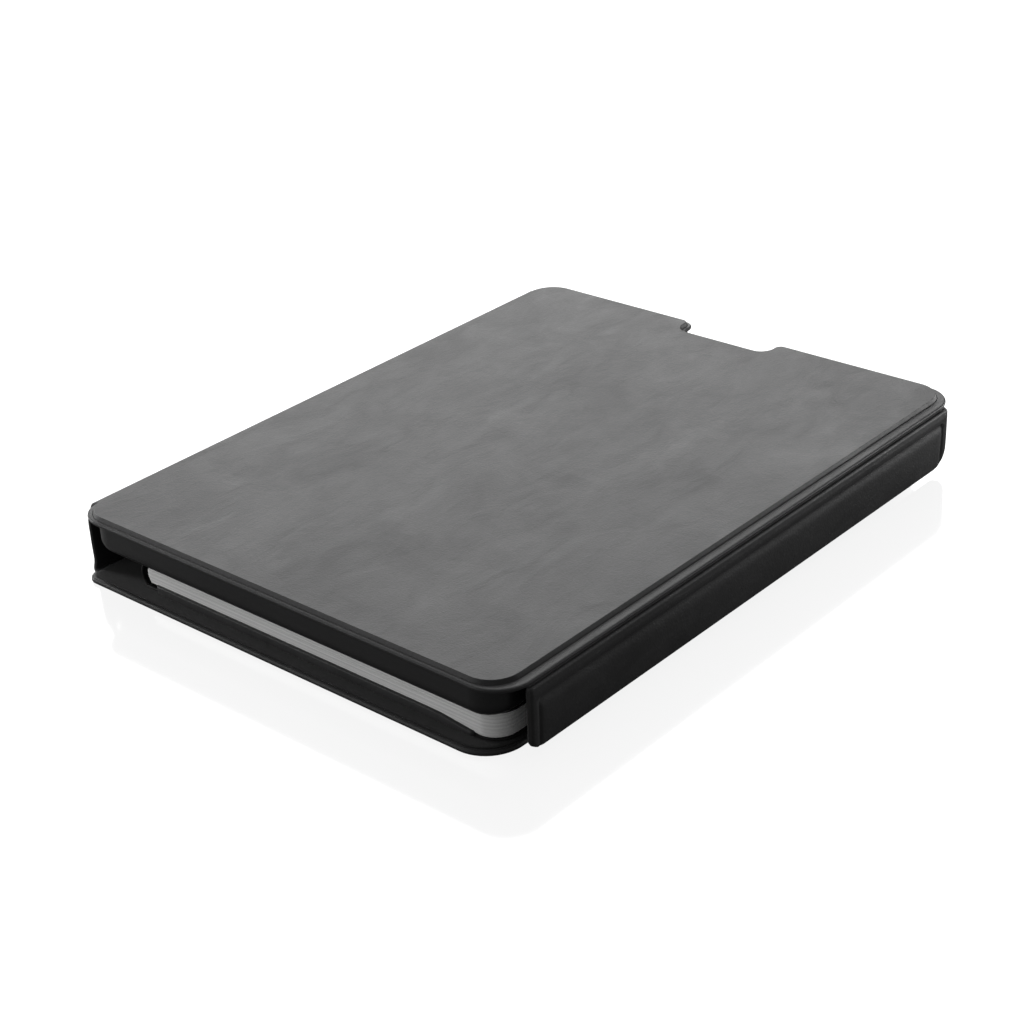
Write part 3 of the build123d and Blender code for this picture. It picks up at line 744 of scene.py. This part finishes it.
# ------------------------------------------------------------------ pieces
class FOLIO_OT_front_cover(bpy.types.Operator):
    """Front cover's leatherette: rolled edge, shoulder, raised panel and notch"""

    bl_idname = "folio.front_cover"
    bl_label = "Front cover"

    def execute(self, context):
        own = sizes()
        half = COVER_HIGH.y
        edge_left, edge_right = COVER_LOW.x - 0.6 * MM, HINGE["flap_fold"].x + 0.6 * MM
        under, top = COVER_LOW.z, COVER_HIGH.z
        rim_top = under + own.bead
        notch = (own.notch_width, own.notch_depth, NOTCH_MOUTH_RADIUS, NOTCH_INNER_RADIUS)
        panel_margin = 1.25 * MM
        panel_right = edge_right - own.strip
        panel_left = edge_left + 1.8 * MM
        panel_notch = (
            own.notch_width + 2 * panel_margin,
            own.notch_depth,
            notch[2] - panel_margin,
            notch[3] + panel_margin,
        )

        def edge(inset, z):
            loop = notched_loop(
                edge_left, edge_right, half, COVER_RADIUS, COVER_RADIUS, notch, inset
            )
            return [(x, y, z - sag(x)) for x, y in loop]

        def panel(inset, z):
            loop = notched_loop(
                panel_left, panel_right, half - panel_margin,
                PANEL_LEFT_RADIUS, PANEL_RIGHT_RADIUS, panel_notch, inset,
            )
            return [(x, y, z) for x, y in loop]

        def sag(x):
            right = 0.06 * MM * smooth_step(panel_right, edge_right, x)
            left = 0.45 * MM * smooth_step(-panel_left - 0.6 * MM, -edge_left, -x)
            return right + left

        swell = own.bead
        rings = [
            edge(4.0 * MM, under + 0.05 * MM),
            edge(0.75 * MM, under + 0.02 * MM),
            edge(0.30 * MM, under + 0.10 * MM),
            edge(0.07 * MM, under + 0.30 * swell),
            edge(0.0, under + 0.50 * swell),
            edge(0.07 * MM, under + 0.74 * swell),
            edge(0.26 * MM, under + 0.91 * swell),
            edge(0.52 * MM, rim_top),
            edge(0.85 * MM, rim_top + 0.01 * MM),
            panel(-0.12 * MM, rim_top - 0.02 * MM),
            panel(0.0, rim_top - 0.14 * MM),
            panel(0.10 * MM, rim_top + 0.08 * MM),
        ]
        rise = top - rim_top - 0.08 * MM
        slope = own.shoulder
        for step in range(1, 7):
            t = step / 6
            lift = min(1.08 * t, 1.0 - 0.30 * (1.0 - t) ** 1.6)
            rings.append(panel(0.10 * MM + slope * t, rim_top + 0.08 * MM + rise * lift))
        for inset in (1.7 * MM, 2.6 * MM, 4.0 * MM):
            rings.append(panel(inset, top))
        bm = bmesh.new()
        stacked(bm, rings)
        cover = finished("front_cover_leather", bm, finish_of("leatherette"))
        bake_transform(cover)
        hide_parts("cover_outer_skin")
        dressed("cover_board", "foam_pad")
        return {"FINISHED"}


def spine_path():
    """The spine wall from the back cover's edge, up, and over on to the front cover."""
    wall = sizes().wall
    outer = WALL_LOW.x + wall / 2
    low, high = WALL_LOW.z, WALL_HIGH.z
    points = [
        (BASE_LOW.x + 5.0 * MM, wall / 2 + 0.02 * MM),
        (BASE_LOW.x + 1.5 * MM, wall / 2 + 0.02 * MM),
        (outer + 1.1 * MM, wall / 2 + 0.06 * MM),
        (outer + 0.3 * MM, wall / 2 + 0.55 * MM),
        (outer + 0.02 * MM, low - 0.2 * MM),
        (outer - 0.08 * MM, low + 3.0 * MM),
        (outer - 0.1 * MM, (low + high) / 2),
        (outer + 0.1 * MM, high - 2.5 * MM),
        (outer + 0.35 * MM, high + 0.2 * MM),
        (outer + 0.95 * MM, high + 1.35 * MM),
        (outer + 2.0 * MM, COVER_LOW.z + 0.62 * MM),
        (outer + 3.3 * MM, COVER_LOW.z + 0.70 * MM),
    ]
    return curve_through(points, 6)


class FOLIO_OT_spine_wall(bpy.types.Operator):
    """Spine wall's leatherette in two halves, one curved round the lower fold and one round the upper fold"""

    bl_idname = "folio.spine_wall"
    bl_label = "Spine wall"

    def execute(self, context):
        path = spine_path()
        wall = sizes().wall
        half_way = 0.5 * (WALL_LOW.z + WALL_HIGH.z)
        middle = min(range(len(path)), key=lambda index: abs(path[index][1] - half_way))
        half_length = WALL_HIGH.y
        rim = [0.0, 0.6 * MM, 1.4 * MM, 3.0 * MM, 7.0 * MM]

        def reach(z):
            top = smooth_step(WALL_HIGH.z - 4.0 * MM, COVER_LOW.z + 0.7 * MM, z)
            low = 1 - smooth_step(0.0, WALL_LOW.z + 2.0 * MM, z)
            return half_length - 0.3 * MM - 1.6 * MM * top + 1.1 * MM * low

        def build(name, part, fade_low, fade_high):
            count = len(part)

            def thickness(index):
                lower = index / fade_low if fade_low else 1.0
                upper = (count - 1 - index) / fade_high if fade_high else 1.0
                return wall / 2 * (0.12 + 0.88 * min(lower, upper, 1.0))

            def ends(index):
                span = reach(part[index][1])
                return -span, span

            bm = bmesh.new()
            sheet_body(bm, part, thickness, ends, rim)
            return finished(name, bm, finish_of("leatherette"))

        lower = build("spine_wall_lower", path[: middle + 1], 5, 0)
        upper = build("spine_wall_upper", path[middle:], 0, 14)
        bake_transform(lower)
        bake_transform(upper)
        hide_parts("spine_outer_skin", "spine_board", "spine_lining")
        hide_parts("spine_outer_skin")
        return {"FINISHED"}


class FOLIO_OT_flap(bpy.types.Operator):
    """Closing flap with its pressed border line, curled round from the fold"""

    bl_idname = "folio.flap"
    bl_label = "Flap"

    def execute(self, context):
        own = sizes()
        fold = HINGE["flap_fold"]
        half = own.flap / 2
        near, far = FLAP_LOW.y, FLAP_HIGH.y
        bottom = FLAP_LOW.z
        outer_top = FLAP_HIGH.x - half
        outer_low = outer_top - FLAP_LEAN
        tuck = [
            (fold.x - 1.6 * MM, fold.z - 0.22 * MM),
            (fold.x - 0.8 * MM, fold.z - 0.28 * MM),
            (fold.x - 0.45 * MM, fold.z - 0.8 * MM),
            (outer_top - 0.25 * MM, fold.z - 1.45 * MM),
            (outer_top, fold.z - 2.0 * MM),
            (outer_top, fold.z - 3.0 * MM),
        ]
        head = curve_through(tuck, 5)
        start = head[-1]
        low = bottom + half
        bend = low + FLAP_FAR_RADIUS
        places = [start[1] + (bend - start[1]) * t / 48 for t in range(1, 49)]
        for step in range(1, 13):
            turn = math.pi / 2 * step / 12
            places.append(bend - FLAP_FAR_RADIUS * math.sin(turn))
        tail = []
        for z in places:
            t = (start[1] - z) / (start[1] - low)
            bow = 0.15 * MM * math.sin(math.pi * t)
            tail.append((start[0] + (outer_low - start[0]) * t + bow, z))
        hem = []
        for step in range(1, 4):
            turn = math.pi / 2 * step / 3
            hem.append((tail[-1][0], low - half * 0.55 * math.sin(turn)))
        path = head + tail + hem
        heads = len(head)

        def thickness(index):
            if index < heads:
                swell = smooth_step(fold.z - 0.8 * MM, fold.z - 2.1 * MM, path[index][1])
                return half * (0.22 + 0.78 * swell)
            over = index - (len(path) - 1 - len(hem))
            if over > 0:
                return half * math.cos(math.pi / 2 * over / len(hem) * 0.92)
            return half

        def ends(index):
            z = path[index][1]
            top = 1.0 * MM * (1 - smooth_step(0, heads - 2, index))

            def cut(radius):
                drop = min(max(low + radius - z, 0.0), radius)
                return radius - math.sqrt(radius**2 - drop**2)

            return near + cut(FLAP_NEAR_RADIUS) + top, far - cut(FLAP_FAR_RADIUS) - top

        crease_z = fold.z - own.crease_drop

        def press(index, y):
            z = path[index][1]
            width = 0.6 * MM
            above, below = 0.55 * width, 3.2 * width
            first, last = near + own.crease_inset, far - own.crease_inset
            fall = (z - crease_z) / (above if z > crease_z else below)
            line = math.exp(-(fall**2)) if first < y < last else 0.0
            from_end = min(abs(y - first), abs(y - last))
            under = smooth_step(crease_z + width, crease_z - width, z)
            stop = math.exp(-(from_end / width) ** 2) * under
            bead = 0.16 * MM * math.exp(-((z - (fold.z - 3.6 * MM)) / (1.1 * MM)) ** 2)
            return own.crease_depth * max(line, 0.7 * stop) - bead

        rim = [0.0, 0.4 * MM, 0.9 * MM, 1.5 * MM, 1.9 * MM, 2.2 * MM, 2.5 * MM, 2.8 * MM]
        rim += [3.2 * MM, 3.8 * MM, 5.0 * MM, 8.0 * MM]
        bm = bmesh.new()
        sheet_body(bm, path, thickness, ends, rim, press=press)
        flap = finished("flap_leather", bm, finish_of("leatherette"))
        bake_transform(flap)
        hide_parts("flap_outer_skin", "flap_lining", "flap_board", "flap_magnets")
        return {"FINISHED"}


class FOLIO_OT_back_cover(bpy.types.Operator):
    """Back cover: leatherette turned up round the edge and a lining sheet let into it"""

    bl_idname = "folio.back_cover"
    bl_label = "Back cover"

    def execute(self, context):
        low, high = BASE_LOW, BASE_HIGH
        top = LINING_TOP

        def loop(inset, z):
            flat = plain_loop(
                low.x, high.x, low.y, high.y, BACK_LEFT_RADIUS, BACK_RIGHT_RADIUS, inset
            )
            return level(flat, z)

        rings = [
            loop(1.2 * MM, 0.0),
            loop(0.5 * MM, 0.0),
            loop(0.15 * MM, 0.14 * MM),
            loop(0.0, 0.45 * MM),
            loop(0.0, 0.8 * MM),
            loop(0.1 * MM, top - 0.55 * MM),
            loop(0.35 * MM, top - 0.3 * MM),
            loop(0.8 * MM, top - 0.22 * MM),
            loop(1.6 * MM, top - 0.26 * MM),
        ]
        bm = bmesh.new()
        stacked(bm, rings)
        skin = finished("back_cover_leather", bm, finish_of("leatherette"), "base")
        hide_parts("base_outer_skin")
        rings = [
            loop(1.35 * MM, top - 0.35 * MM),
            loop(1.25 * MM, top - 0.2 * MM),
            loop(1.3 * MM, top - 0.06 * MM),
            loop(1.5 * MM, top),
            loop(2.5 * MM, top),
        ]
        bm = bmesh.new()
        stacked(bm, rings)
        sheet = finished("back_cover_lining", bm, finish_of("lining"), "base")
        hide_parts("base_lining")
        dressed("base_board", "base_magnets")
        return {"FINISHED"}


class FOLIO_OT_page_block(bpy.types.Operator):
    """Page block: groups of leaves, each a hair in or out of the next"""

    bl_idname = "folio.page_block"
    bl_label = "Page block"

    def execute(self, context):
        low, high = PAGES_LOW, PAGES_HIGH
        step = sizes().leaf
        count = int((high.z - low.z) / step)
        draw = random.Random(7)
        rise = 1.5 * MM
        rings = []
        for index in range(count + 1):
            t = index / count
            inset = draw.uniform(0.0, 0.09) * MM
            wander = draw.uniform(-0.35, 0.35) * MM
            flat = plain_loop(
                low.x, high.x, low.y, high.y, LEAF_LEFT_RADIUS, LEAF_RIGHT_RADIUS, inset
            )
            ring = []
            for x, y in flat:
                sunk = 1 - smooth_step(BAND_HIGH.x - BAND_SLOPE, BAND_HIGH.x + 0.5 * MM, x)
                z = low.z + (high.z - low.z) * t + rise * sunk * (1 - t)
                spine_side = smooth_step(low.x + 1.5 * MM, low.x, x)
                bow = 1.3 * MM * (1 - (2 * t - 1) ** 2)
                ring.append((x + spine_side * (wander + 1.0 * MM - bow), y, z))
            rings.append(ring)
            if index < count:
                gap = [(x, y, z + 0.45 * step) for x, y, z in ring]
                rings.append(gap)
        bm = bmesh.new()
        stacked(bm, rings[:-1])
        leaves = finished("page_block_leaves", bm, finish_of("paper"), "base", sharp=50.0)
        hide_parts("page_block")
        return {"FINISHED"}


def soft_board(name, low, high, body):
    """A cloth-covered board with eased edges."""
    ease = min(0.3 * MM, (high.z - low.z) / 2.2)
    rings = []
    for inset, z in (
        (ease * 1.6, low.z),
        (ease * 0.4, low.z + ease * 0.35),
        (0.0, low.z + ease),
        (0.0, high.z - ease),
        (ease * 0.4, high.z - ease * 0.35),
        (ease * 1.6, high.z),
        (ease * 6, high.z),
    ):
        flat = plain_loop(
            low.x, high.x, low.y, high.y, BOARD_LEFT_RADIUS, BOARD_RIGHT_RADIUS, inset
        )
        rings.append(level(flat, z))
    bm = bmesh.new()
    stacked(bm, rings)
    return finished(name, bm, finish_of("book_cloth"), body)


class FOLIO_OT_book_covers(bpy.types.Operator):
    """Notebook's boards and its rounded cloth spine"""

    bl_idname = "folio.book_covers"
    bl_label = "Notebook covers"

    def execute(self, context):
        front = soft_board("book_front_board", FRONT_LOW, FRONT_HIGH, "book_front")
        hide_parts("notebook_front_cover")
        back = soft_board("book_back_board", BACK_LOW, BACK_HIGH, "base")
        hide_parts("notebook_back_cover")
        low, high = BOOK_SPINE_LOW, BOOK_SPINE_HIGH
        bulge = high.x - low.x
        middle = (low.z + high.z) / 2
        path = []
        for step in range(19):
            turn = math.radians(-82 + 164 * step / 18)
            x = high.x - 0.3 * MM - (bulge - 0.6 * MM) * math.cos(turn)
            path.append((x, middle + (high.z - low.z - 0.6 * MM) / 2 * math.sin(turn)))
        bm = bmesh.new()
        rim = [0.0, 0.5 * MM, 1.5 * MM]
        sheet_body(bm, path, 0.3 * MM, lambda index: (low.y, high.y), rim, middle=20)
        cloth = finished("book_spine_cloth", bm, finish_of("book_cloth"), "base")
        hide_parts("notebook_spine")
        return {"FINISHED"}


class FOLIO_OT_band(bpy.types.Operator):
    """Band round the notebook's back board, with rounded edges and a slanting end"""

    bl_idname = "folio.band"
    bl_label = "Band"

    def execute(self, context):
        low, high = BAND_LOW, BAND_HIGH
        floor = LINING_TOP
        step_x = high.x - BAND_SLOPE
        ease = 0.45 * MM

        def loop(inset, z, top):
            flat = plain_loop(
                low.x, high.x, low.y, high.y, BAND_RADIUS, BAND_RADIUS, inset, steps=5, pieces=24
            )
            ring = []
            for x, y in flat:
                fall = smooth_step(step_x, high.x, x) * 1.3 * MM if top else 0.0
                ring.append((x, y, z - fall))
            return ring

        rings = [
            loop(ease * 0.5, floor, False),
            loop(0.0, floor + 0.2 * MM, False),
            loop(0.0, high.z - ease, True),
            loop(ease * 0.15, high.z - ease * 0.5, True),
            loop(ease * 0.5, high.z - ease * 0.15, True),
            loop(ease, high.z, True),
            loop(ease * 2, high.z, True),
        ]
        bm = bmesh.new()
        stacked(bm, rings, close_low=False, close_high=False)
        inner = loop(ease * 2, high.z, True)
        lower = [(x, y, z - 0.8 * MM) for x, y, z in inner]
        top_loop = [bm.verts.new(point) for point in inner]
        bm.faces.new(top_loop)
        low_loop = [bm.verts.new(point) for point in lower]
        bm.faces.new(list(reversed(low_loop)))
        bridge(bm, low_loop, top_loop)
        bmesh.ops.remove_doubles(bm, verts=bm.verts, dist=1e-6)
        band = finished("pocket_band", bm, finish_of("leatherette"), "base")
        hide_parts("pocket_sleeve")
        return {"FINISHED"}


class FOLIO_OT_charger(bpy.types.Operator):
    """Finishes of the charger housing and of everything in it"""

    bl_idname = "folio.charger"
    bl_label = "Charger"

    def execute(self, context):
        bodies = frame["record"]["behaviour"]["bodies"]
        worn = {"cover_outer_skin", "cover_board", "foam_pad"}
        dressed(*[node for node in bodies["cover"] if node not in worn])
        dressed(*bodies["power_key"])
        return {"FINISHED"}


class FOLIO_OT_stage(bpy.types.Operator):
    """Pale floor, soft lights and the camera"""

    bl_idname = "folio.stage"
    bl_label = "Stage"

    def execute(self, context):
        scene = context.scene
        bm = bmesh.new()
        bmesh.ops.create_grid(bm, x_segments=2, y_segments=2, size=6.0)
        bmesh.ops.translate(bm, verts=bm.verts, vec=(0, 0, -0.02 * MM))
        finished("floor", bm, lit_table("floor", colours().floor))

        def softbox(name, place, target, size, power):
            data = bpy.data.lights.new(name, "AREA")
            data.shape = "RECTANGLE"
            data.size, data.size_y = size
            data.energy = power
            lamp = bpy.data.objects.new(name, data)
            lamp.location = place
            aim = Vector(target) - Vector(place)
            lamp.rotation_euler = aim.to_track_quat("-Z", "Y").to_euler()
            scene.collection.objects.link(lamp)

        softbox("overhead", (-0.4, 0.5, 1.6), (0, 0, 0), (2.2, 2.2), 20)
        softbox("behind", (-1.35, 1.45, 0.95), (0, 0, 0), (2.6, 1.3), 36)
        softbox("front", (-0.7, -1.4, 0.16), (0, 0, 0), (0.9, 0.3), 3.5)
        softbox("left", (-1.35, -0.35, 0.16), (0, 0, 0), (0.3, 0.25), 9)
        softbox("beside", (0.25, 0.45, 0.01), (0.085, 0.1, 0.01), (0.2, 0.016), 0.9)
        world = bpy.data.worlds.new("studio")
        world.use_nodes = True
        background = world.node_tree.nodes["Background"]
        background.inputs["Color"].default_value = (1, 1, 1, 1)
        background.inputs["Strength"].default_value = 0.22
        scene.world = world
        scene.view_settings.view_transform = "Standard"

        own = scene.folio_camera
        back = Vector((
            math.sin(own.azimuth) * math.cos(own.elevation),
            -math.cos(own.azimuth) * math.cos(own.elevation),
            math.sin(own.elevation),
        ))
        right = (-back).cross(Vector((0, 0, 1))).normalized()
        up = back.cross(right)
        turn = own.roll
        rolled_right = right * math.cos(turn) - up * math.sin(turn)
        rolled_up = up * math.cos(turn) + right * math.sin(turn)
        data = bpy.data.cameras.new("camera")
        data.lens = own.lens
        data.sensor_width = 36
        data.clip_start = 0.01
        camera = bpy.data.objects.new("camera", data)
        basis = Matrix((rolled_right, rolled_up, back)).transposed().to_4x4()
        camera.matrix_world = Matrix.Translation((own.away_x, -own.away_y, own.height)) @ basis
        scene.collection.objects.link(camera)
        scene.camera = camera
        return {"FINISHED"}


OPERATORS = (
    FOLIO_OT_stage,
    FOLIO_OT_front_cover,
    FOLIO_OT_spine_wall,
    FOLIO_OT_flap,
    FOLIO_OT_back_cover,
    FOLIO_OT_page_block,
    FOLIO_OT_book_covers,
    FOLIO_OT_band,
    FOLIO_OT_charger,
)
GROUPS = {
    "folio_sizes": FolioSizes,
    "folio_colours": FolioColours,
    "folio_camera": FolioCamera,
}


class FOLIO_PT_panel(bpy.types.Panel):
    """Sizes, colours and the steps that build the folio"""

    bl_idname = "FOLIO_PT_panel"
    bl_label = "Charging folio"
    bl_space_type = "VIEW_3D"
    bl_region_type = "UI"
    bl_category = "Folio"

    def draw(self, context):
        for attribute, group in GROUPS.items():
            box = self.layout.box()
            for name in group.__annotations__:
                box.prop(getattr(context.scene, attribute), name)
        for operator in OPERATORS:
            self.layout.operator(operator.bl_idname)


def register():
    for item in (*GROUPS.values(), *OPERATORS, FOLIO_PT_panel):
        bpy.utils.register_class(item)
    for attribute, group in GROUPS.items():
        setattr(bpy.types.Scene, attribute, bpy.props.PointerProperty(type=group))


def unregister():
    for attribute in GROUPS:
        delattr(bpy.types.Scene, attribute)
    for item in reversed((*GROUPS.values(), *OPERATORS, FOLIO_PT_panel)):
        bpy.utils.unregister_class(item)


def main():
    register()
    for operator in OPERATORS:
        space, name = operator.bl_idname.split(".")
        getattr(getattr(bpy.ops, space), name)()


if __name__ == "__main__":
    main()
